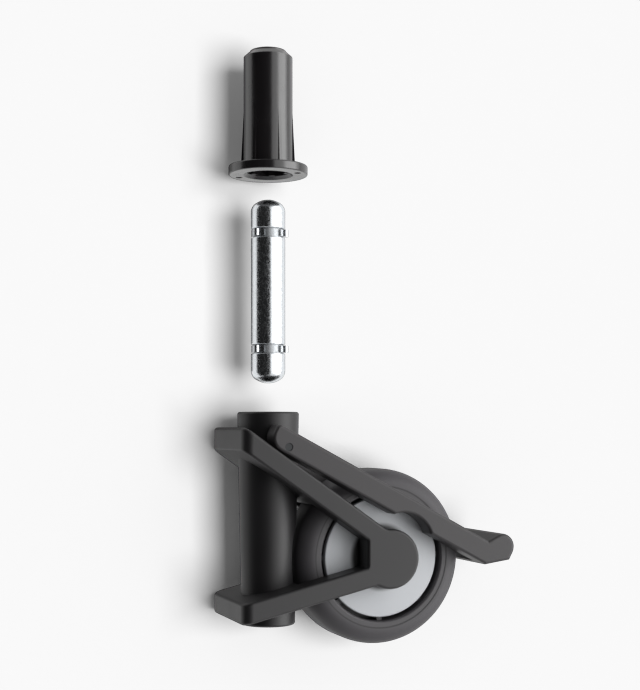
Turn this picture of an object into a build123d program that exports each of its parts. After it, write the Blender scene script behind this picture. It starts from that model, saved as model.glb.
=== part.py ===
from build123d import *

import os
from math import asin, atan2, cos, degrees, hypot, radians, sin, tan

# Castor for a piece of furniture: a flanged socket for the leg, a double-ended stem pin with two
# spring rings, and a moulded frame that carries a wheel and a foot brake. The three groups hang
# apart on one vertical axis, in the order in which they go together.
# Millimetres, +Z up along the swivel axis, wheel towards +X. The origin is the centre of the
# flange's upper face, which meets the underside of the furniture.

# Spacing of the three groups along the axis
pin_gap = 7.0  # flange to stem pin
frame_gap = 8.2  # stem pin to tube
seat_gap = 0.5  # flange to tube when the castor is put together

# Stem pin
pin_diameter = 9.5
pin_length = 51.5
pin_crown = 2.2  # height of the crown on each end
pin_end_radius = 2.8  # between crown and side
ring_offset = 16.25  # middle of the pin to the middle of each ring
groove_width = 2.5
groove_depth = 0.75
groove_edge_radius = 0.3
pin_clearance = 0.05  # radial running fit of the pin in both bores

# Spring rings, open towards the near side, with three lugs each
ring_width = 1.8
ring_inner_play = 0.05
ring_rim_play = 0.1  # how far the band stays inside the pin's surface
lug_reach = 1.0  # lugs beyond the pin's surface
lug_radius = 0.85
lug_angles = (-30, 90, 210)
ring_opening = 64  # degrees

# Bores of socket and tube: ribs guide the pin, and the lugs run in the channels between them
channel_diameter = 12.2
bore_rib_count = 6
bore_rib_width = 1.6
channel_extra = 1.4  # channels go on behind the ring by this much
bore_end_gap = 1.0
mouth_chamfer = 0.9

# Socket
flange_diameter = 22.1
flange_thickness = 2.4
flange_edge_radius = 0.3
body_diameter = 13.6
body_draft = 0.2  # how much wider the body's radius is at the flange
socket_height = 32.4  # above the flange's upper face
shoulder_height = 1.3
neck_diameter = 10.2
neck_height = 0.55
fin_count = 6
fin_width = 0.8
fin_height = 0.75
fin_length = 15.0
fin_angle = 40
flange_hole_diameter = 1.9
flange_hole_circle = 18.0
flange_hole_angle = -42

# Tube of the frame
tube_length = 59.5
tube_top_diameter = 17.2
tube_bottom_diameter = 15.0
tube_edge_radius = 0.6
tube_core_diameter = 9.0
tube_core_depth = 4.6

# Frame: two cheeks, each of two arms that meet in a round boss
wheel_offset = 31.4  # axle behind the swivel axis
axle_drop = 41.1  # axle below the top of the tube
frame_width = 30.5
cheek_thickness = 6.4
frame_front = 11.9  # front faces before the swivel axis
upper_arm_drop = 3.6  # arm's front top edge below the top of the tube
lower_arm_height = 1.7  # arm's front bottom edge above the foot of the tube
arm_width = 5.7
arm_axle_offset = 6.1  # axle to the outer edge of each arm
boss_diameter = 16.8
boss_upper_blend = 3.0  # rounding between boss and upper arm
boss_lower_blend = 1.5
window_end = 7.2  # end of the window before the axle
window_radius = 0.8
front_edge_radius = 2.8
face_edge_radius = 0.8
wheel_clearance = 1.5

# Wheel
wheel_diameter = 50.0
wheel_width = 16.8
tread_radius = 4.9
tread_wall = 5.0  # thickness of the soft tread
tread_side = 0.1  # least flat that the rounding leaves on the tread's side
tread_key_depth = 1.0
tread_key_width = 6.0
rim_wall = 1.8
rim_edge_radius = 0.7
rim_inset = 0.1  # rim's side inside the tread's side
hub_diameter = 13.0
thrust_gap = 0.3  # hub to cheek
web_thickness = 4.0
core_rib_count = 8
core_rib_thickness = 1.6
disc_rim_gap = 1.1
disc_thickness = 1.5
disc_inset = 2.4  # rib ends, which carry the disc, inside the tread's side
disc_rise = 0.5  # how far the disc is domed
disc_fullness = 0.7  # share of the rise that is reached half-way across the disc
disc_edge_radius = 0.35
disc_hub_gap = 0.15

# Axle
axle_diameter = 6.0
axle_seat_depth = 4.4
axle_end_gap = 0.1
axle_chamfer = 0.4
bearing_clearance = 0.05
press_clearance = 0.01

# Foot brake: two arms beside the tube, joined by a pedal behind the wheel
lever_pivot_offset = 1.0  # pivot behind the swivel axis
lever_pivot_rise = 2.4  # pivot above the upper edge of the arm
lever_travel = 6.8  # degrees from rest to the pedal's lowest place
lever_width = 6.3
lever_gap = 0.5  # arm to frame when the pedal is down
lever_side_gap = 0.3  # arm to the seat round its pivot
lever_tail = 5.5  # arm before the pivot
lever_tail_top_radius = 1.2
lever_tail_bottom_radius = 4.0
notch_gap = 0.7  # arm round the boss when the pedal is down
pedal_start = 23.5  # crease of the pedal behind the axle, along the arm
pedal_nose_radius = 3.7
pedal_nose_offset = 4.9  # centre of the nose behind the crease
pedal_nose_height = 0.55  # centre of the nose above the arm's upper edge
pedal_heel = 2.3  # start of the bevel under the pedal, behind the crease
pedal_bevel_height = 4.6
shoe_gap = 0.4  # pedal to tread when the pedal is down
pivot_pin_diameter = 2.2
pivot_pin_depth = 1.9  # in the tube's wall
pivot_pin_inset = 0.3  # pin's end inside the lever's face
pivot_seat_diameter = 5.4
pivot_seat_height = 0.4  # seat proud of the tube's side

# Cutting and finding
overcut = 1.0  # how far a cut runs past what it cuts
tolerance = 0.01  # for finding an edge by its size or height

# Heights and radii that follow from the sizes above
pin_radius = pin_diameter / 2
bore_radius = pin_radius + pin_clearance
channel_radius = channel_diameter / 2
pin_top = -flange_thickness - pin_gap
pin_middle = pin_top - pin_length / 2
tube_top = pin_top - pin_length - frame_gap
tube_bottom = tube_top - tube_length
tube_top_radius = tube_top_diameter / 2
tube_bottom_radius = tube_bottom_diameter / 2
engaged = pin_length / 2 - seat_gap / 2  # length of pin in each bore
channel_length = engaged - (pin_length / 2 - ring_offset) + ring_width / 2 + channel_extra
bore_length = engaged + bore_end_gap
axle_height = tube_top - axle_drop
wheel_radius = wheel_diameter / 2
half_width = frame_width / 2
slot_half = half_width - cheek_thickness
wheel_axis = Axis((wheel_offset, 0, axle_height), (0, 1, 0))
wheel_section = Plane(origin=(wheel_offset, 0, axle_height), x_dir=(1, 0, 0), z_dir=(0, 0, 1))
side_plane = Plane(origin=(0, 0, tube_top), x_dir=(1, 0, 0), z_dir=(0, -1, 0))

os.makedirs("parts", exist_ok=True)


def tube_radius_at(drop):
    """Radius of the drafted tube at a distance below its top."""
    return tube_top_radius + (tube_bottom_radius - tube_top_radius) * drop / tube_length


def ribbed_bore():
    """Section of both bores: a channel circle with ribs that reach in to the pin."""
    rib_inner = bore_radius - pin_clearance
    with BuildSketch() as section:
        Circle(channel_radius)
        with PolarLocations((rib_inner + channel_radius) / 2, bore_rib_count):
            Rectangle(channel_radius - rib_inner + overcut, bore_rib_width, mode=Mode.SUBTRACT)
        Circle(bore_radius)
    return section.sketch


bore_section = ribbed_bore()

# Socket: flange, plain body with tapered fins at its foot, shoulder and neck
with BuildPart() as socket:
    with BuildSketch(Plane.XZ):
        body_radius = body_diameter / 2
        neck_radius = neck_diameter / 2
        shoulder_top = socket_height - neck_height
        with BuildLine():
            Polyline(
                (0, -flange_thickness),
                (flange_diameter / 2, -flange_thickness),
                (flange_diameter / 2, 0),
                (body_radius + body_draft, 0),
                (body_radius, fin_length),
                (body_radius, shoulder_top - shoulder_height),
                (neck_radius + neck_height / 2, shoulder_top),
                (neck_radius, shoulder_top),
                (neck_radius, socket_height),
                (0, socket_height),
                close=True,
            )
        make_face()
    revolve(axis=Axis.Z)
    flange_edges = socket.edges().filter_by(GeomType.CIRCLE).filter_by(
        lambda edge: abs(edge.radius - flange_diameter / 2) < tolerance
    )
    fillet(flange_edges, flange_edge_radius)
    fillet(socket.edges().filter_by(GeomType.CIRCLE).sort_by(Axis.Z)[-1], flange_edge_radius)
    for step in range(fin_count):
        fin_turn = fin_angle + step * 360 / fin_count
        fin_plane = Plane(
            origin=(0, 0, 0),
            x_dir=(cos(radians(fin_turn)), sin(radians(fin_turn)), 0),
            z_dir=(sin(radians(fin_turn)), -cos(radians(fin_turn)), 0),
        )
        with BuildSketch(fin_plane):
            with BuildLine():
                Polyline(
                    (body_radius - fin_height, 0),
                    (body_radius + fin_height, 0),
                    (body_radius, fin_length),
                    (body_radius - fin_height, fin_length),
                    close=True,
                )
            make_face()
        extrude(amount=fin_width / 2, both=True)
    with BuildSketch(Plane.XY.offset(-flange_thickness)):
        add(bore_section)
    extrude(amount=channel_length, mode=Mode.SUBTRACT)
    with BuildSketch(Plane.XY.offset(-flange_thickness)):
        Circle(bore_radius)
    extrude(amount=bore_length, mode=Mode.SUBTRACT)
    with BuildSketch(Plane.XY.offset(-flange_thickness)):
        Circle(channel_radius + mouth_chamfer)
    extrude(amount=mouth_chamfer, taper=45, mode=Mode.SUBTRACT)
    with BuildSketch():
        with PolarLocations(flange_hole_circle / 2, 2, start_angle=flange_hole_angle):
            Circle(flange_hole_diameter / 2)
    extrude(amount=-flange_thickness, mode=Mode.SUBTRACT)
socket.part.label = "socket"
export_step(socket.part, "parts/socket.step")

# Stem pin: domed ends and a groove for each ring
groove_radius = pin_radius - groove_depth
ring_heights = {"upper_ring": pin_middle + ring_offset, "lower_ring": pin_middle - ring_offset}
with BuildPart() as stem_pin:
    with BuildSketch(Plane(origin=(0, 0, pin_middle), x_dir=(1, 0, 0), z_dir=(0, -1, 0))):
        side_end = pin_length / 2 - pin_crown
        crown_radius = (pin_radius**2 + pin_crown**2) / (2 * pin_crown)
        crown_reach = degrees(asin(pin_radius / crown_radius))
        with BuildLine():
            CenterArc((0, pin_length / 2 - crown_radius), crown_radius, 90 - crown_reach, crown_reach)
            Line((0, pin_length / 2), (0, -pin_length / 2))
            CenterArc((0, crown_radius - pin_length / 2), crown_radius, -90, crown_reach)
            Line((pin_radius, -side_end), (pin_radius, side_end))
        make_face()
    revolve(axis=Axis.Z)
    fillet(stem_pin.edges().filter_by(GeomType.CIRCLE), pin_end_radius)
    for ring_height in ring_heights.values():
        with BuildSketch(Plane.XY.offset(ring_height - groove_width / 2)):
            Circle(pin_radius + overcut)
            Circle(groove_radius, mode=Mode.SUBTRACT)
        extrude(amount=groove_width, mode=Mode.SUBTRACT)
        groove_edges = stem_pin.edges().filter_by(GeomType.CIRCLE).filter_by(
            lambda edge: abs(edge.radius - pin_radius) < tolerance
            and abs(abs(edge.center().Z - ring_height) - groove_width / 2) < tolerance
        )
        fillet(groove_edges, groove_edge_radius)
stem_pin.part.label = "stem_pin"
export_step(stem_pin.part, "parts/stem_pin.step")

# Spring rings: an open band in the groove, with lugs that stand proud of the pin
ring_inner = groove_radius + ring_inner_play
ring_outer = pin_radius - ring_rim_play
for ring_name, ring_height in ring_heights.items():
    with BuildPart() as ring:
        with BuildSketch(Plane.XY.offset(ring_height - ring_width / 2)):
            Circle(ring_outer)
            lug_centre = pin_radius + lug_reach - lug_radius
            lug_places = [Vector(lug_centre, 0).rotate(Axis.Z, turn) for turn in lug_angles]
            with Locations(*lug_places):
                Circle(lug_radius)
            Circle(ring_inner, mode=Mode.SUBTRACT)
            opening_half = radians(ring_opening / 2)
            far = ring_outer + lug_reach
            with BuildLine():
                Polyline(
                    (0, 0),
                    (far * sin(opening_half), -far * cos(opening_half)),
                    (0, -far / cos(opening_half)),
                    (-far * sin(opening_half), -far * cos(opening_half)),
                    close=True,
                )
            make_face(mode=Mode.SUBTRACT)
        extrude(amount=ring_width)
    ring.part.label = ring_name
    export_step(ring.part, f"parts/{ring_name}.step")

# Side outline of the frame, in x and height below the top of the tube. The outer edge of each arm
# runs from its front corner past the axle at a set distance.
arm_span = frame_front + wheel_offset
upper_front_top = -upper_arm_drop
lower_front_bottom = -tube_length + lower_arm_height


def arm_angle(rise):
    """Slope of an arm whose front corner lies this far above or below the axle, in radians."""
    return atan2(rise, arm_span) - asin(arm_axle_offset / hypot(rise, arm_span))


upper_turn = arm_angle(upper_front_top + axle_drop)
lower_turn = arm_angle(-axle_drop - lower_front_bottom)
upper_front_bottom = upper_front_top - arm_width / cos(upper_turn)
lower_front_top = lower_front_bottom + arm_width / cos(lower_turn)
window_x = wheel_offset - window_end
window_front = -frame_front - overcut


def upper_edge(x, front_height):
    """Height of a line along the upper arm."""
    return front_height - (x + frame_front) * tan(upper_turn)


def lower_edge(x, front_height):
    """Height of a line along the lower arm."""
    return front_height + (x + frame_front) * tan(lower_turn)


boss_radius = boss_diameter / 2
pivot_edge = upper_edge(lever_pivot_offset, upper_front_top)
lever_pivot_drop = -pivot_edge - lever_pivot_rise / cos(upper_turn)
pivot_seat_y = tube_radius_at(lever_pivot_drop) + pivot_seat_height
pivot_pin_radius = pivot_pin_diameter / 2
with BuildPart() as frame:
    with BuildSketch(side_plane) as outline:
        with BuildLine():
            Polyline(
                (-frame_front, upper_front_top),
                (-frame_front, lower_front_bottom),
                (wheel_offset, lower_edge(wheel_offset, lower_front_bottom)),
                (wheel_offset, upper_edge(wheel_offset, upper_front_top)),
                close=True,
            )
        make_face()
        with Locations((wheel_offset, -axle_drop)):
            Circle(boss_radius)
        with BuildSketch(mode=Mode.SUBTRACT):
            with BuildLine():
                Polyline(
                    (window_front, upper_edge(window_front, upper_front_bottom)),
                    (window_x, upper_edge(window_x, upper_front_bottom)),
                    (window_x, lower_edge(window_x, lower_front_top)),
                    (window_front, lower_edge(window_front, lower_front_top)),
                    close=True,
                )
            make_face()
            fillet(vertices().group_by(Axis.X)[-1], window_radius)
        for place, blend in ((-1, boss_upper_blend), (0, boss_lower_blend)):
            boss_corners = [
                vertex for vertex in vertices()
                if abs(hypot(vertex.X - wheel_offset, vertex.Y + axle_drop) - boss_radius) < tolerance
            ]
            fillet(ShapeList(boss_corners).sort_by(Axis.Y)[place], blend)
    extrude(amount=half_width, both=True)
    front_edges = frame.edges().filter_by(Axis.Z).group_by(Axis.X)[0]
    fillet(front_edges, front_edge_radius)
    # The rounding runs on over the front corners and along the far side
    near_edges = frame.faces().filter_by(Axis.Y).sort_by(Axis.Y)[0].edges()
    front_seam_x = front_edge_radius - frame_front
    near_edges = [edge for edge in near_edges if edge.center().X > front_seam_x + tolerance]
    fillet(near_edges, face_edge_radius)
    with BuildSketch(side_plane):
        with BuildLine():
            Polyline(
                (0, 0),
                (tube_top_radius, 0),
                (tube_bottom_radius, -tube_length),
                (0, -tube_length),
                close=True,
            )
        make_face()
    revolve(axis=Axis.Z)
    tube_ends = frame.edges().filter_by(GeomType.CIRCLE).filter_by(
        lambda edge: abs(edge.center().Z - tube_top) < tolerance
        or abs(edge.center().Z - tube_bottom) < tolerance
    )
    fillet(tube_ends, tube_edge_radius)
    with Locations((lever_pivot_offset, 0, tube_top - lever_pivot_drop)):
        Cylinder(pivot_seat_diameter / 2, 2 * pivot_seat_y, rotation=(90, 0, 0))
    # The wheel runs between the cheeks and in a hollow of the tube
    with Locations((wheel_offset, 0, axle_height)):
        Cylinder(wheel_radius + wheel_clearance, 2 * slot_half, rotation=(90, 0, 0),
                 mode=Mode.SUBTRACT)
        Cylinder(axle_diameter / 2 + press_clearance, 2 * (slot_half + axle_seat_depth),
                 rotation=(90, 0, 0), mode=Mode.SUBTRACT)
    with BuildSketch(Plane.XY.offset(tube_top)):
        add(bore_section)
    extrude(amount=-channel_length, mode=Mode.SUBTRACT)
    with BuildSketch(Plane.XY.offset(tube_top)):
        Circle(bore_radius)
    extrude(amount=-bore_length, mode=Mode.SUBTRACT)
    with BuildSketch(Plane.XY.offset(tube_top)):
        Circle(channel_radius + mouth_chamfer)
    extrude(amount=-mouth_chamfer, taper=45, mode=Mode.SUBTRACT)
    with BuildSketch(Plane.XY.offset(tube_bottom)):
        Circle(tube_core_diameter / 2)
    extrude(amount=tube_core_depth, mode=Mode.SUBTRACT)
    for side in (-1, 1):
        seat_hole = Plane(
            origin=(lever_pivot_offset, side * pivot_seat_y, tube_top - lever_pivot_drop),
            x_dir=(1, 0, 0),
            z_dir=(0, -side, 0),
        )
        with BuildSketch(seat_hole):
            Circle(pivot_pin_radius + press_clearance)
        extrude(amount=pivot_pin_depth, mode=Mode.SUBTRACT)
frame.part.label = "frame"
export_step(frame.part, "parts/frame.step")

# Axle, pressed into blind holes in the cheeks
axle_length = 2 * (slot_half + axle_seat_depth - axle_end_gap)
with BuildPart() as axle:
    with Locations((wheel_offset, 0, axle_height)):
        Cylinder(axle_diameter / 2, axle_length, rotation=(90, 0, 0))
    chamfer(axle.edges().filter_by(GeomType.CIRCLE), axle_chamfer)
axle.part.label = "axle"
export_step(axle.part, "parts/axle.step")

# Wheel core: hub, web, ribs and rim in one moulding. Sections lie in the plane of the axle.
tread_half = wheel_width / 2
rim_half = tread_half - rim_inset
rim_outer = wheel_radius - tread_wall
rim_inner = rim_outer - rim_wall
hub_radius = hub_diameter / 2
hub_half = slot_half - thrust_gap
disc_seat = tread_half - disc_inset
key_inner = rim_outer - tread_key_depth
with BuildPart() as wheel_core:
    with BuildSketch(wheel_section):
        with BuildLine():
            Polyline(
                (axle_diameter / 2 + bearing_clearance, -hub_half),
                (hub_radius, -hub_half),
                (hub_radius, -web_thickness / 2),
                (rim_inner, -web_thickness / 2),
                (rim_inner, -rim_half),
                (rim_outer, -rim_half),
                (rim_outer, -tread_key_width / 2),
                (key_inner, -tread_key_width / 2),
                (key_inner, tread_key_width / 2),
                (rim_outer, tread_key_width / 2),
                (rim_outer, rim_half),
                (rim_inner, rim_half),
                (rim_inner, web_thickness / 2),
                (hub_radius, web_thickness / 2),
                (hub_radius, hub_half),
                (axle_diameter / 2 + bearing_clearance, hub_half),
                close=True,
            )
        make_face()
        rim_corners = [
            vertex for vertex in vertices()
            if abs(vertex.X - rim_inner) < tolerance and abs(abs(vertex.Y) - rim_half) < tolerance
        ]
        fillet(rim_corners, rim_edge_radius)
    revolve(axis=wheel_axis)
    rib_middle = (hub_radius + rim_inner) / 2
    rib_span = rim_inner - hub_radius + overcut
    rib_plane = Plane(origin=(wheel_offset, 0, axle_height), x_dir=(1, 0, 0), z_dir=(0, -1, 0))
    with BuildSketch(rib_plane):
        with PolarLocations(rib_middle, core_rib_count):
            Rectangle(rib_span, core_rib_thickness)
    extrude(amount=disc_seat, both=True)
wheel_core.part.label = "wheel_core"
export_step(wheel_core.part, "parts/wheel_core.step")

# Tread: soft tyre moulded round the rim and keyed into it
with BuildPart() as tyre:
    with BuildSketch(wheel_section):
        with BuildLine():
            Polyline(
                (rim_outer, -tread_half),
                (wheel_radius, -tread_half),
                (wheel_radius, tread_half),
                (rim_outer, tread_half),
                (rim_outer, tread_key_width / 2),
                (key_inner, tread_key_width / 2),
                (key_inner, -tread_key_width / 2),
                (rim_outer, -tread_key_width / 2),
                close=True,
            )
        make_face()
        shoulder_corners = [
            vertex for vertex in vertices() if abs(vertex.X - wheel_radius) < tolerance
        ]
        fillet(shoulder_corners, min(tread_radius, tread_wall - tread_side))
    revolve(axis=wheel_axis)
tyre.part.label = "tyre"
export_step(tyre.part, "parts/tyre.step")

# Cover discs: slightly domed rings that close both sides of the core
disc_radius = rim_inner - disc_rim_gap
disc_bore = hub_radius + disc_hub_gap
for side, disc_name in ((-1, "near_disc"), (1, "far_disc")):
    inner_y = side * disc_seat
    edge_y = side * (disc_seat + disc_thickness)
    crown_y = side * (disc_seat + disc_thickness + disc_rise)
    middle_x = (disc_bore + disc_radius) / 2
    middle_y = edge_y + disc_fullness * (crown_y - edge_y)
    with BuildPart() as disc:
        with BuildSketch(wheel_section):
            with BuildLine():
                Polyline(
                    (disc_bore, crown_y),
                    (disc_bore, inner_y),
                    (disc_radius, inner_y),
                    (disc_radius, edge_y),
                )
                ThreePointArc((disc_radius, edge_y), (middle_x, middle_y), (disc_bore, crown_y))
            make_face()
        revolve(axis=wheel_axis)
        outer_edge = disc.edges().filter_by(GeomType.CIRCLE).filter_by(
            lambda edge: abs(edge.radius - disc_radius) < tolerance
            and abs(edge.center().Y - edge_y) < tolerance
        )
        fillet(outer_edge, disc_edge_radius)
    disc.part.label = disc_name
    export_step(disc.part, f"parts/{disc_name}.step")

# Brake lever. Its outline is set out along the arm, from the pivot, with the pedal down, when
# the arm lies along the frame's upper arm. The lever then stands up by the brake's travel.
def along_arm(x, height):
    """Point of the side view as distances along and across the upper arm, from the pivot."""
    run = x - lever_pivot_offset
    rise = height + lever_pivot_drop
    return (
        run * cos(upper_turn) - rise * sin(upper_turn),
        run * sin(upper_turn) + rise * cos(upper_turn),
    )


rest_turn = upper_turn - radians(lever_travel)
lever_plane = Plane(
    origin=(lever_pivot_offset, 0, tube_top - lever_pivot_drop),
    x_dir=(cos(rest_turn), 0, -sin(rest_turn)),
    z_dir=(0, -1, 0),
)
lever_bottom = lever_gap - lever_pivot_rise
lever_top = lever_bottom + lever_width
lever_inner = pivot_seat_y + lever_side_gap
boss_place = along_arm(wheel_offset, -axle_drop)
crease_x = boss_place[0] + pedal_start
nose_centre = (crease_x + pedal_nose_offset, lever_top + pedal_nose_height)
crease_distance = hypot(pedal_nose_offset, pedal_nose_height)
crease_turn = degrees(atan2(pedal_nose_height, pedal_nose_offset))
tangent_turn = 180 + crease_turn - degrees(atan2(crease_distance, pedal_nose_radius))
nose_start = (
    nose_centre[0] + pedal_nose_radius * cos(radians(tangent_turn)),
    nose_centre[1] + pedal_nose_radius * sin(radians(tangent_turn)),
)
nose_end_x = nose_centre[0] + pedal_nose_radius
with BuildPart() as brake_lever:
    with BuildSketch(lever_plane):
        with BuildLine():
            Polyline(
                nose_start,
                (crease_x, lever_top),
                (-lever_tail, lever_top),
                (-lever_tail, lever_bottom),
                (crease_x + pedal_heel, lever_bottom),
                (nose_end_x, lever_bottom + pedal_bevel_height),
                (nose_end_x, nose_centre[1]),
            )
            CenterArc(nose_centre, pedal_nose_radius, 0, tangent_turn)
        make_face()
        tail_top = vertices().sort_by_distance((-lever_tail, lever_top))[0]
        fillet(tail_top, lever_tail_top_radius)
        tail_bottom = vertices().sort_by_distance((-lever_tail, lever_bottom))[0]
        fillet(tail_bottom, lever_tail_bottom_radius)
        with Locations(boss_place):
            Circle(boss_radius + notch_gap, mode=Mode.SUBTRACT)
    extrude(amount=half_width, both=True)
    outer_faces = brake_lever.faces().filter_by(Axis.Y).group_by(Axis.Y)
    fillet(outer_faces[0].edges() + outer_faces[-1].edges(), face_edge_radius)
    with BuildSketch(lever_plane):
        with Locations(boss_place):
            Circle(wheel_radius + shoe_gap)
        with Locations((-lever_tail - overcut, 0)):
            Rectangle(
                lever_tail + overcut + boss_place[0], wheel_diameter, align=(Align.MIN, Align.CENTER)
            )
    extrude(amount=lever_inner, both=True, mode=Mode.SUBTRACT)
    with BuildSketch(lever_plane):
        Circle(pivot_pin_radius + bearing_clearance)
    extrude(amount=half_width, both=True, mode=Mode.SUBTRACT)
brake_lever.part.label = "brake_lever"
export_step(brake_lever.part, "parts/brake_lever.step")

# Pivot pins of the lever, pressed into the tube's sides
pivot_pin_length = half_width - pivot_pin_inset - (pivot_seat_y - pivot_pin_depth)
for side, pin_name in ((-1, "near_pivot_pin"), (1, "far_pivot_pin")):
    pin_centre = side * (half_width - pivot_pin_inset - pivot_pin_length / 2)
    with BuildPart() as pivot_pin:
        with Locations((lever_pivot_offset, pin_centre, tube_top - lever_pivot_drop)):
            Cylinder(pivot_pin_radius, pivot_pin_length, rotation=(90, 0, 0))
    pivot_pin.part.label = pin_name
    export_step(pivot_pin.part, f"parts/{pin_name}.step")
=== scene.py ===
"""Looks of a furniture castor that hangs apart on its swivel axis.

From the top down: a flanged leg socket of black plastic, a bright stem pin with two spring rings,
and a moulded frame with a soft-tread wheel and a foot brake. Behind it stands a white sheet that
catches its shadow. Two soft lights on the right are for the castor, and two more for the sheet.
"""

import math

import bpy
import numpy as np
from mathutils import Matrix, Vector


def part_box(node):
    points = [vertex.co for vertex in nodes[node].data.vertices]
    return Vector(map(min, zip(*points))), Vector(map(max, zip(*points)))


bl_info = {
    "name": "Furniture Castor",
    "version": (1, 0, 0),
    "blender": (4, 5, 0),
    "location": "3D View > Sidebar > Castor",
    "description": "Finishes and studio of a furniture castor",
    "category": "Object",
}

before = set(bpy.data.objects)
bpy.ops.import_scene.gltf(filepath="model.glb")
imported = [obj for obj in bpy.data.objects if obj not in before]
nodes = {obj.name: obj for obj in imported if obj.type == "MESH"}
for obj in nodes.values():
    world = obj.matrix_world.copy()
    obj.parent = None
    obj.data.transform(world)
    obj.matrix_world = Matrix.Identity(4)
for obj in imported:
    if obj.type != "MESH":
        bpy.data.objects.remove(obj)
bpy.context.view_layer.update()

MM = 0.001

# Camera of the photograph: its place in metres, its turn about the upright in degrees, and the
# height, focal length and horizon of its picture in pixels. The sensor is in millimetres.
CAMERA_PLACE = (-0.1145, -0.3480, -0.0741)
CAMERA_TURN = 20.5
IMAGE_HEIGHT = 690
FOCAL_PIXELS = 1300
HORIZON_PIXEL = 430
SENSOR = 36.0

# Height of the castor's middle, on which the lights and the sheet are centred.
MIDDLE = -0.07

# Numbers of the sockets that are used on nodes with many of them.
IS_CAMERA, IS_GLOSSY, IS_TRANSMISSION, RAY_LENGTH = 0, 3, 6, 7
GENERATED, OBJECT = 0, 3
BACKFACING = 6
MIX_SHARE, MIX_FIRST, MIX_SECOND, MIX_COLOUR = 0, 6, 7, 2

# Depth of the relief in bump maps: the grain of moulded surfaces, and the skin of smooth ones.
GRAIN_DEPTH = 0.04 * MM
SKIN_DEPTH = 0.05 * MM

WHITE = (1.0, 1.0, 1.0, 1.0)


class Wire:
    """An output in a shader, on which + - * ** and the like add Math nodes."""

    def __init__(self, shader, socket):
        self.shader = shader
        self.socket = socket

    def math(self, operation, *values):
        return self.shader.node("ShaderNodeMath", {"operation": operation}, [self, *values])[0]

    def __add__(self, other):
        return self.math("ADD", other)

    __radd__ = __add__

    def __mul__(self, other):
        return self.math("MULTIPLY", other)

    __rmul__ = __mul__

    def __sub__(self, other):
        return self.math("SUBTRACT", other)

    def __rsub__(self, other):
        return self.shader.node("ShaderNodeMath", {"operation": "SUBTRACT"}, [other, self])[0]

    def __pow__(self, other):
        return self.math("POWER", other)

    def rise(self, low, high):
        """0 below low, 1 above high, and a smooth step between them."""
        return self.shader.node(
            "ShaderNodeMapRange",
            {"interpolation_type": "SMOOTHSTEP"},
            {"Value": self, "From Min": low, "From Max": high, "To Min": 0.0, "To Max": 1.0},
        )[0]


class Shader:
    """Node tree of one material or world, started empty."""

    def __init__(self, owner):
        owner.use_nodes = True
        self.tree = owner.node_tree
        self.tree.nodes.clear()

    def node(self, kind, settings, values=()):
        """Adds a node, sets it up, then its inputs by number or by name. Returns its outputs."""
        made = self.tree.nodes.new(kind)
        for key, value in settings.items():
            setattr(made, key, value)
        for key, value in values.items() if isinstance(values, dict) else enumerate(values):
            if isinstance(value, Wire):
                self.tree.links.new(value.socket, made.inputs[key])
            else:
                made.inputs[key].default_value = value
        return [Wire(self, output) for output in made.outputs]

    def place(self):
        """Object coordinates, in metres."""
        return self.node("ShaderNodeTexCoord", {})[OBJECT]

    def parts(self, vector):
        """The x, y and z of a vector."""
        return self.node("ShaderNodeSeparateXYZ", {}, [vector])

    def stretched(self, place, scale):
        return self.node("ShaderNodeMapping", {}, {"Vector": place, "Scale": scale})[0]

    def noise(self, place, scale, detail=2.0, roughness=0.5):
        """Noise from 0 to 1, with its scale in waves per metre."""
        return self.node(
            "ShaderNodeTexNoise",
            {},
            {"Vector": place, "Scale": scale, "Detail": detail, "Roughness": roughness},
        )[0]

    def mix(self, share, first, second):
        """Mixes two colours."""
        first, second = (
            colour if isinstance(colour, Wire) else (*colour[:3], 1.0) for colour in (first, second)
        )
        sockets = {MIX_SHARE: share, MIX_FIRST: first, MIX_SECOND: second}
        return self.node("ShaderNodeMix", {"data_type": "RGBA"}, sockets)[MIX_COLOUR]

    def bump(self, height, strength, distance):
        return self.node(
            "ShaderNodeBump", {}, {"Height": height, "Strength": strength, "Distance": distance}
        )[0]

    def clear(self):
        """See-through shader."""
        return self.node("ShaderNodeBsdfTransparent", {})[0]

    def glow(self, level):
        """Colourless light of a level, where 1 is white."""
        return self.node("ShaderNodeEmission", {}, {"Color": WHITE, "Strength": level})[0]

    def blend(self, share, first, second):
        """Mixes two shaders."""
        return self.node("ShaderNodeMixShader", {}, [share, first, second])[0]

    def finish(self, surface):
        """Makes a shader the material's surface."""
        self.node("ShaderNodeOutputMaterial", {}, {"Surface": surface})

    def surface(self, **inputs):
        """Principled shader as the material's surface."""
        values = {key.replace("_", " "): value for key, value in inputs.items()}
        self.finish(self.node("ShaderNodeBsdfPrincipled", {}, values)[0])


def material(name, colour):
    """Empty material, with its colour in the viewport."""
    made = bpy.data.materials.new(name)
    made.diffuse_color = (*colour[:3], 1.0)
    return made


def shade(colour, factor, lift=0.0):
    """The colour, brighter or darker."""
    return [factor * part + lift for part in colour[:3]]


def dress(names, finish):
    """Gives CAD nodes a finish through their material slots."""
    for name in names:
        slots = nodes[name].material_slots
        if not slots:
            raise RuntimeError(f"{name} has no material slot")
        for slot in slots:
            slot.material = finish


def wheel_radius(shader):
    """Distance from the wheel's axis, in metres."""
    low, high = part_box("tyre")
    x, _, z = shader.parts(shader.place())
    across = x - (low.x + high.x) / 2
    along = z - (low.z + high.z) / 2
    return (across * across + along * along) ** 0.5


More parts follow.
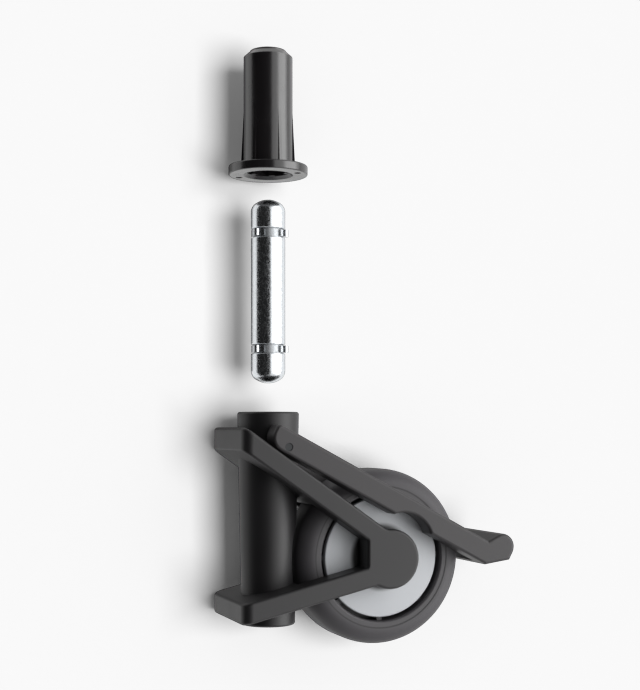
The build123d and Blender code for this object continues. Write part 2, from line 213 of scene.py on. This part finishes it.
def moulded_plastic(name, colour, roughness, grain):
    """Satin moulded plastic: a fine eroded grain and a faint cloudiness of the gloss."""
    made = material(name, colour)
    shader = Shader(made)
    place = shader.place()
    cloud = shader.noise(place, scale=90.0, detail=3.0)
    speck = shader.noise(place, scale=5200.0)
    dust = shader.noise(place, scale=1500.0, detail=4.0).rise(0.62, 0.82)
    cloud_tint, dust_tint = 0.35, 0.25
    cloud_dullness, dust_dullness = 0.12, 0.06
    pale = shade(colour, 1.5, lift=0.004)
    shader.surface(
        Base_Color=shader.mix(cloud * cloud_tint + dust * dust_tint, colour, pale),
        Roughness=roughness + (cloud - 0.5) * cloud_dullness + dust * dust_dullness,
        Normal=shader.bump(speck, grain, GRAIN_DEPTH),
    )
    return made


def disc_plastic(name, colour, hub_shade_colour):
    """Pale satin plastic of a cover disc, with a darker ring of painted shade about the hub."""
    hub_edge, pale_edge = 8.4 * MM, 10.2 * MM
    roughness, cloud_dullness, grain = 0.42, 0.12, 0.12
    made = material(name, colour)
    shader = Shader(made)
    place = shader.place()
    # Painted shade: towards the hub, inside the pale edge, the disc fades into the darker colour.
    pale = wheel_radius(shader).rise(hub_edge, pale_edge)
    cloud = shader.noise(place, scale=110.0, detail=3.0)
    speck = shader.noise(place, scale=4800.0)
    tint = shader.mix(cloud * 0.4, colour, shade(colour, 0.93))
    shader.surface(
        Base_Color=shader.mix(pale, hub_shade_colour, tint),
        Roughness=roughness + (cloud - 0.5) * cloud_dullness,
        Normal=shader.bump(speck, grain, GRAIN_DEPTH),
    )
    return made


def gloss_plastic(name, colour, roughness):
    """Black socket plastic: glossy, with faint flow streaks along the axis."""
    streak = (1.0, 1.0, 0.12)
    cloud_dullness, flow_dullness, relief = 0.16, 0.08, 0.12
    made = material(name, colour)
    shader = Shader(made)
    place = shader.place()
    flow = shader.noise(shader.stretched(place, streak), scale=700.0, detail=3.0)
    cloud = shader.noise(place, scale=160.0)
    shader.surface(
        Base_Color=shader.mix(flow * 0.5, colour, shade(colour, 1.6, lift=0.003)),
        Roughness=roughness + (cloud - 0.5) * cloud_dullness + (flow - 0.5) * flow_dullness,
        Specular_IOR_Level=0.95,
        Normal=shader.bump(flow, relief, SKIN_DEPTH),
    )
    return made


def zinc_plate(name, colour, roughness, groove=None):
    """Bright zinc plate: turned steel with fine pits and dull, wavy veins.

    A groove is the shaft's radius and two heights. Between them, steel that lies deeper than that
    radius is dull, and darker as painted shade in the grooves.
    """
    wave = (1.0, 1.0, 0.45)
    pit_dullness, cloud_dullness, vein_dullness, groove_dullness = 0.2, 0.1, 0.15, 0.3
    relief = 0.3
    made = material(name, colour)
    shader = Shader(made)
    place = shader.place()
    pits = shader.noise(place, scale=3400.0, detail=3.0, roughness=0.65)
    skin = shader.noise(shader.stretched(place, wave), scale=1300.0, detail=4.0, roughness=0.6)
    cloud = shader.noise(place, scale=240.0, detail=3.0)
    vein = 1.0 - (skin - 0.5).math("ABSOLUTE").rise(0.0, 0.05)
    fleck = pits.rise(0.55, 0.75)
    tint = shader.mix(cloud * 0.5 + fleck * 0.4, colour, shade(colour, 0.8))
    dull = roughness + (pits - 0.5) * pit_dullness + (cloud - 0.5) * cloud_dullness
    dull = dull + vein * vein_dullness
    if groove:
        reach, bottom, top = groove
        x, y, z = shader.parts(place)
        inner = 1.0 - ((x * x + y * y) ** 0.5).rise(reach - 0.5 * MM, reach - 0.1 * MM)
        inner = inner * z.rise(bottom, bottom + 1 * MM) * (1.0 - z.rise(top - 1 * MM, top))
        # Painted shade: steel in the grooves takes a darker colour.
        tint = shader.mix(inner, tint, shade(colour, 0.5))
        dull = dull + inner * groove_dullness
    shader.surface(
        Base_Color=tint,
        Metallic=1.0,
        Roughness=dull,
        Normal=shader.bump(pits * 0.4 + skin * 0.6, relief, SKIN_DEPTH),
    )
    return made


def soft_rubber(name, colour, roughness, seam):
    """Grey thermoplastic rubber: dull, with a slight mottle.

    The seam is a radius about the wheel's axle at which a thin dark line runs round the sides.
    """
    core, edge = 0.08 * MM, 0.3 * MM
    mottle_dullness, grain = 0.1, 0.12
    made = material(name, colour)
    shader = Shader(made)
    place = shader.place()
    mottle = shader.noise(place, scale=420.0, detail=4.0)
    speck = shader.noise(place, scale=4200.0)
    tint = shader.mix(mottle, shade(colour, 0.88), shade(colour, 1.12))
    line = 1.0 - (wheel_radius(shader) - seam).math("ABSOLUTE").rise(core, edge)
    shader.surface(
        Base_Color=shader.mix(line * 0.8, tint, shade(colour, 0.15)),
        Roughness=roughness + (mottle - 0.5) * mottle_dullness,
        Normal=shader.bump(speck, grain, GRAIN_DEPTH),
    )
    return made


class CastorFinish(bpy.types.PropertyGroup):
    """Colours and gloss of the castor's materials."""

    # The frame's colour is also the colour of the painted shade about the discs' hubs.
    frame_colour: bpy.props.FloatVectorProperty(
        name="Frame", description="Plastic of the frame and of the discs' hub rings",
        subtype="COLOR", size=3, default=(0.012, 0.0112, 0.0122), min=0.0, max=1.0)
    lever_colour: bpy.props.FloatVectorProperty(
        name="Lever", description="Slightly paler plastic of the brake lever",
        subtype="COLOR", size=3, default=(0.036, 0.0332, 0.0352), min=0.0, max=1.0)
    frame_roughness: bpy.props.FloatProperty(
        name="Frame roughness", description="Dullness of the frame's and the lever's plastic",
        subtype="FACTOR", default=0.47, min=0.0, max=1.0)
    socket_colour: bpy.props.FloatVectorProperty(
        name="Socket", description="Plastic of the leg socket",
        subtype="COLOR", size=3, default=(0.011, 0.0095, 0.0105), min=0.0, max=1.0)
    socket_roughness: bpy.props.FloatProperty(
        name="Socket roughness", description="Dullness of the socket's plastic",
        subtype="FACTOR", default=0.24, min=0.0, max=1.0)
    zinc_colour: bpy.props.FloatVectorProperty(
        name="Zinc", description="Plated steel of pin, rings and axle",
        subtype="COLOR", size=3, default=(0.82, 0.85, 0.88), min=0.0, max=1.0)
    zinc_roughness: bpy.props.FloatProperty(
        name="Zinc roughness", description="Dullness of the plated steel of pin and axle",
        subtype="FACTOR", default=0.2, min=0.0, max=1.0)
    tread_colour: bpy.props.FloatVectorProperty(
        name="Tread", description="Soft grey tread and rim",
        subtype="COLOR", size=3, default=(0.072, 0.068, 0.074), min=0.0, max=1.0)
    disc_colour: bpy.props.FloatVectorProperty(
        name="Disc", description="Pale cover discs of the wheel",
        subtype="COLOR", size=3, default=(0.67, 0.69, 0.72), min=0.0, max=1.0)


class CastorStudio(bpy.types.PropertyGroup):
    """Light and background."""

    key_power: bpy.props.FloatProperty(
        name="Key light", description="Power of the large light on the right, in watts",
        default=62.0, min=0.0)
    core_power: bpy.props.FloatProperty(
        name="Key centre", description="Power of the brighter patch in the key light, in watts",
        default=28.0, min=0.0)
    sheet_power: bpy.props.FloatProperty(
        name="Sheet light", description="Power of the widest light on the sheet alone, in watts",
        default=11.0, min=0.0)
    sheet_gap: bpy.props.FloatProperty(
        name="Sheet gap", description="Distance of the sheet from the far side of the frame",
        subtype="DISTANCE", unit="LENGTH", default=0.0008, min=0.0)
    white_level: bpy.props.FloatProperty(
        name="White", description="Level of the white background",
        subtype="FACTOR", default=0.95, min=0.0, max=1.0)


class CASTOR_OT_frame_plastic(bpy.types.Operator):
    """Satin plastic on the frame and the brake lever"""

    bl_idname = "castor.frame_plastic"
    bl_label = "Frame and lever"

    def execute(self, context):
        look = context.scene.castor_finish
        grain = 0.25
        for name, colour in (("frame", look.frame_colour), ("brake_lever", look.lever_colour)):
            dress((name,), moulded_plastic(name, list(colour), look.frame_roughness, grain))
        return {"FINISHED"}


class CASTOR_OT_socket_plastic(bpy.types.Operator):
    """Glossy plastic on the leg socket"""

    bl_idname = "castor.socket_plastic"
    bl_label = "Socket"

    def execute(self, context):
        look = context.scene.castor_finish
        plastic = gloss_plastic("socket", list(look.socket_colour), look.socket_roughness)
        dress(("socket",), plastic)
        return {"FINISHED"}


class CASTOR_OT_plated_steel(bpy.types.Operator):
    """Zinc plate on the stem pin, the rings, the axle and the pivot pins"""

    bl_idname = "castor.plated_steel"
    bl_label = "Plated steel"

    def execute(self, context):
        look = context.scene.castor_finish
        zinc, roughness = list(look.zinc_colour), look.zinc_roughness
        low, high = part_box("stem_pin")
        crown = 5 * MM
        # Between the crowns, steel below the pin's radius gets painted shade.
        groove = (high.x, low.z + crown, high.z - crown)
        dress(("stem_pin",), zinc_plate("pin_steel", zinc, roughness, groove))
        dress(("axle",), zinc_plate("steel", zinc, roughness))
        dark = zinc_plate("dark_steel", shade(zinc, 0.05), roughness=0.3)
        dress(("near_pivot_pin", "far_pivot_pin"), dark)
        ring = zinc_plate("ring", shade(zinc, 0.95), roughness=0.24)
        dress(("upper_ring", "lower_ring"), ring)
        return {"FINISHED"}


class CASTOR_OT_wheel_finish(bpy.types.Operator):
    """Grey tread and rim with pale cover discs"""

    bl_idname = "castor.wheel_finish"
    bl_label = "Wheel"

    def execute(self, context):
        look = context.scene.castor_finish
        tread = list(look.tread_colour)
        seam = 20.1 * MM
        dress(("tyre",), soft_rubber("tread", tread, 0.55, seam))
        dress(("wheel_core",), soft_rubber("core", shade(tread, 0.9), 0.45, seam))
        # The frame's colour gives the painted shade about the discs' hubs.
        disc = disc_plastic("disc", list(look.disc_colour), list(look.frame_colour))
        dress(("near_disc", "far_disc"), disc)
        return {"FINISHED"}


class CASTOR_OT_studio(bpy.types.Operator):
    """White sheet behind the castor, soft lights and the photograph's camera"""

    bl_idname = "castor.studio"
    bl_label = "Studio"

    def execute(self, context):
        studio = context.scene.castor_studio
        sheet = white_sheet(studio)
        dark_card()
        shade_card(studio)
        sheet_key_power = 3.6 * studio.sheet_power
        for name, power, size, turn, distance, height, receivers in (
            ("key", studio.key_power, (4.4, 4.4), 312, 2.5, 0.2, "EXCLUDE"),
            ("key_core", studio.core_power, (1.8, 2.4), 322, 2.4, -0.1, "EXCLUDE"),
            ("sheet_key", sheet_key_power, (1.3, 1.5), 284, 2.4, -0.25, "INCLUDE"),
            ("sheet_sky", studio.sheet_power, (6.0, 6.0), 270, 2.0, -0.1, "INCLUDE"),
        ):
            lamp = soft_light(name, power, size, turn, distance, height)
            share_light(lamp, sheet, receivers)
        soft_world(context.scene, studio)
        photo_camera(context.scene)
        context.scene.view_settings.view_transform = "Standard"
        return {"FINISHED"}


def grid_mesh(name, points):
    """Quads on a grid of points, given as an array of rows, columns and coordinates."""
    rows, columns = points.shape[:2]
    corner = (np.arange(rows - 1)[:, None] * columns + np.arange(columns - 1)).ravel()
    faces = np.stack([corner, corner + 1, corner + columns + 1, corner + columns], axis=1)
    mesh = bpy.data.meshes.new(name)
    mesh.from_pydata(points.reshape(-1, 3).tolist(), [], faces.tolist())
    mesh.update()
    made = bpy.data.objects.new(name, mesh)
    bpy.context.scene.collection.objects.link(made)
    return made


def upright_grid(name, across, upright, studio):
    """Flat rectangle just behind the frame: points (u, y, v), with u across and v upright."""
    _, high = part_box("frame")
    u, v = np.meshgrid(np.linspace(*across, 3), np.linspace(*upright, 3))
    y = np.full_like(u, high.y + studio.sheet_gap)
    return grid_mesh(name, np.stack([u, y, v], axis=2))


def white_sheet(studio):
    """Upright sheet behind the frame, on which the castor lies in the photograph.

    A flat square that only the camera sees, only from the front, and only where the castor's
    shadow falls on it. Elsewhere the white of the world shows.
    """
    reach = 0.5
    paper_colour = (0.9, 0.9, 0.9)
    sheet = upright_grid("floor", (-reach, reach), (MIDDLE - reach, MIDDLE + reach), studio)
    made = material("sheet", paper_colour)
    shader = Shader(made)
    backfacing = shader.node("ShaderNodeNewGeometry", {})[BACKFACING]
    paper = shader.node("ShaderNodeBsdfDiffuse", {}, {"Color": (*paper_colour, 1.0)})[0]
    shader.finish(shader.blend(backfacing, paper, shader.clear()))
    sheet.data.materials.append(made)
    sheet.is_shadow_catcher = True
    sheet.visible_diffuse = False
    sheet.visible_glossy = False
    sheet.visible_transmission = False
    sheet.visible_shadow = False
    return sheet


def glossy_rays_only(card):
    """Leaves a card to be seen in reflections alone."""
    card.visible_camera = False
    card.visible_diffuse = False
    card.visible_shadow = False
    card.visible_transmission = False


def dark_card():
    """Dark curved card on the camera's left, seen only in reflections.

    Part of an upright cylinder about the swivel axis: points (R cos a, R sin a, z) over the turn a
    and the height z.
    """
    radius = 0.9
    level = 0.012
    turn, height = np.meshgrid(np.radians(np.linspace(168, 268, 24)), np.linspace(-1.3, 1.1, 3))
    points = np.stack([radius * np.cos(turn), radius * np.sin(turn), height], axis=2)
    card = grid_mesh("dark_card", points)
    made = material("card", (level, level, level))
    shader = Shader(made)
    shader.finish(shader.glow(level))
    card.data.materials.append(made)
    glossy_rays_only(card)


def shade_card(studio):
    """Dark card behind the frame and the wheel, so that their faces mirror a shaded sheet.

    A flat rectangle in the plane of the sheet. It fades out to the left of the frame, and surfaces
    that lie close to it do not mirror it.
    """
    level = 0.06
    fade = 30 * MM
    below_top = 8 * MM
    low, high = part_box("frame")
    _, tyre_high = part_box("tyre")
    across = (low.x - fade, tyre_high.x)
    card = upright_grid("shade_card", across, (low.z, high.z - below_top), studio)
    made = material("shade", (level, level, level))
    shader = Shader(made)
    x = shader.parts(shader.place())[0]
    far = shader.node("ShaderNodeLightPath", {})[RAY_LENGTH].rise(2.5 * MM, 5 * MM)
    share = far * x.rise(low.x - fade, low.x)
    shader.finish(shader.blend(share, shader.clear(), shader.glow(level)))
    card.data.materials.append(made)
    glossy_rays_only(card)


def aim(made, place, target):
    """Puts a lamp at a place and turns it towards a target."""
    x, y, z = np.array(place) - np.array(target)
    made.location = place
    made.rotation_euler = (math.atan2(math.hypot(x, y), z), 0.0, math.atan2(y, x) + math.pi / 2)


def soft_light(name, power, size, turn, distance, height):
    """Rectangular area light, turned about the swivel axis and aimed at the castor."""
    lamp = bpy.data.lights.new(name, "AREA")
    lamp.shape = "RECTANGLE"
    lamp.size, lamp.size_y = size
    lamp.energy = power
    made = bpy.data.objects.new(name, lamp)
    bpy.context.scene.collection.objects.link(made)
    turn = math.radians(turn)
    place = (distance * math.cos(turn), distance * math.sin(turn), height)
    aim(made, place, (0.0, 0.0, MIDDLE))
    return made


def share_light(lamp, sheet, receivers):
    """Lets a lamp light the sheet alone (INCLUDE), or all but the sheet (EXCLUDE)."""
    group = bpy.data.collections.new(lamp.name)
    group.objects.link(sheet)
    group.collection_objects[0].light_linking.link_state = receivers
    lamp.light_linking.receiver_collection = group


def soft_world(scene, studio):
    """Soft surroundings: white for the eye, and brighter behind the castor than before it.

    What glossy surfaces mirror is pale behind, beside and below the castor and darker before it. A
    dark line lies at the table's end, and a dark wall and a dark doorway stand far behind.
    """
    front_light, back_light = 0.12, 0.52
    dark_mirrored, pale_mirrored = 0.3, 0.94
    table_end_level, wall_depth, doorway_depth = 0.35, 0.75, 0.9
    world = bpy.data.worlds.new("studio")
    scene.world = world
    shader = Shader(world)
    direction = shader.node("ShaderNodeTexCoord", {})[GENERATED]
    side, depth, height = shader.parts(direction)
    ambient = depth.rise(-0.3, 0.4) * (back_light - front_light) + front_light
    around = depth.rise(-0.1, 0.15).math("MAXIMUM", side.rise(0.25, 0.6))
    pale = around.math("MAXIMUM", (0.0 - height).rise(0.3, 0.8))
    table_end = (depth + 0.02).math("ABSOLUTE").rise(0.01, 0.06)
    wall = depth.rise(0.72, 0.92) * height.rise(-0.03, 0.04)
    doorway = depth.rise(0.8, 0.9) * side.rise(-0.17, -0.05) * (1.0 - side.rise(0.12, 0.24))
    mirrored = pale * (pale_mirrored - dark_mirrored) + dark_mirrored
    mirrored = mirrored * (table_end * (1.0 - table_end_level) + table_end_level)
    mirrored = mirrored * (1.0 - wall * wall_depth) * (1.0 - doorway * doorway_depth)
    rays = shader.node("ShaderNodeLightPath", {})
    seen = rays[IS_CAMERA].math("MAXIMUM", rays[IS_TRANSMISSION])
    unseen = (1.0 - rays[IS_GLOSSY]) * ambient + rays[IS_GLOSSY] * mirrored
    strength = seen * studio.white_level + (1.0 - seen) * unseen
    sky = shader.node("ShaderNodeBackground", {}, {"Color": WHITE, "Strength": strength})[0]
    shader.node("ShaderNodeOutputWorld", {}, {"Surface": sky})


def photo_camera(scene):
    """Level camera of the photograph, shifted in its frame to take in the whole castor."""
    lens = bpy.data.cameras.new("photo")
    lens.sensor_width = SENSOR
    lens.lens = FOCAL_PIXELS / IMAGE_HEIGHT * SENSOR
    lens.shift_y = (HORIZON_PIXEL - IMAGE_HEIGHT / 2) / IMAGE_HEIGHT
    lens.clip_start = 0.01
    lens.clip_end = 20.0
    made = bpy.data.objects.new("photo", lens)
    scene.collection.objects.link(made)
    made.location = CAMERA_PLACE
    made.rotation_euler = (math.pi / 2, 0.0, -math.radians(CAMERA_TURN))
    scene.camera = made


class CASTOR_PT_panel(bpy.types.Panel):
    """Steps and settings of the castor"""

    bl_label = "Castor"
    bl_idname = "CASTOR_PT_panel"
    bl_space_type = "VIEW_3D"
    bl_region_type = "UI"
    bl_category = "Castor"

    def draw(self, context):
        column = self.layout.column()
        for operator in OPERATORS:
            column.operator(operator.bl_idname)
        for group in (context.scene.castor_finish, context.scene.castor_studio):
            for name in group.__annotations__:
                column.prop(group, name)


OPERATORS = (
    CASTOR_OT_frame_plastic,
    CASTOR_OT_socket_plastic,
    CASTOR_OT_plated_steel,
    CASTOR_OT_wheel_finish,
    CASTOR_OT_studio,
)
CLASSES = (CastorFinish, CastorStudio, *OPERATORS, CASTOR_PT_panel)


def register():
    for made in CLASSES:
        bpy.utils.register_class(made)
    bpy.types.Scene.castor_finish = bpy.props.PointerProperty(type=CastorFinish)
    bpy.types.Scene.castor_studio = bpy.props.PointerProperty(type=CastorStudio)


def unregister():
    del bpy.types.Scene.castor_studio
    del bpy.types.Scene.castor_finish
    for made in reversed(CLASSES):
        bpy.utils.unregister_class(made)


def main():
    register()
    bpy.ops.castor.frame_plastic()
    bpy.ops.castor.socket_plastic()
    bpy.ops.castor.plated_steel()
    bpy.ops.castor.wheel_finish()
    bpy.ops.castor.studio()


if __name__ == "__main__":
    main()
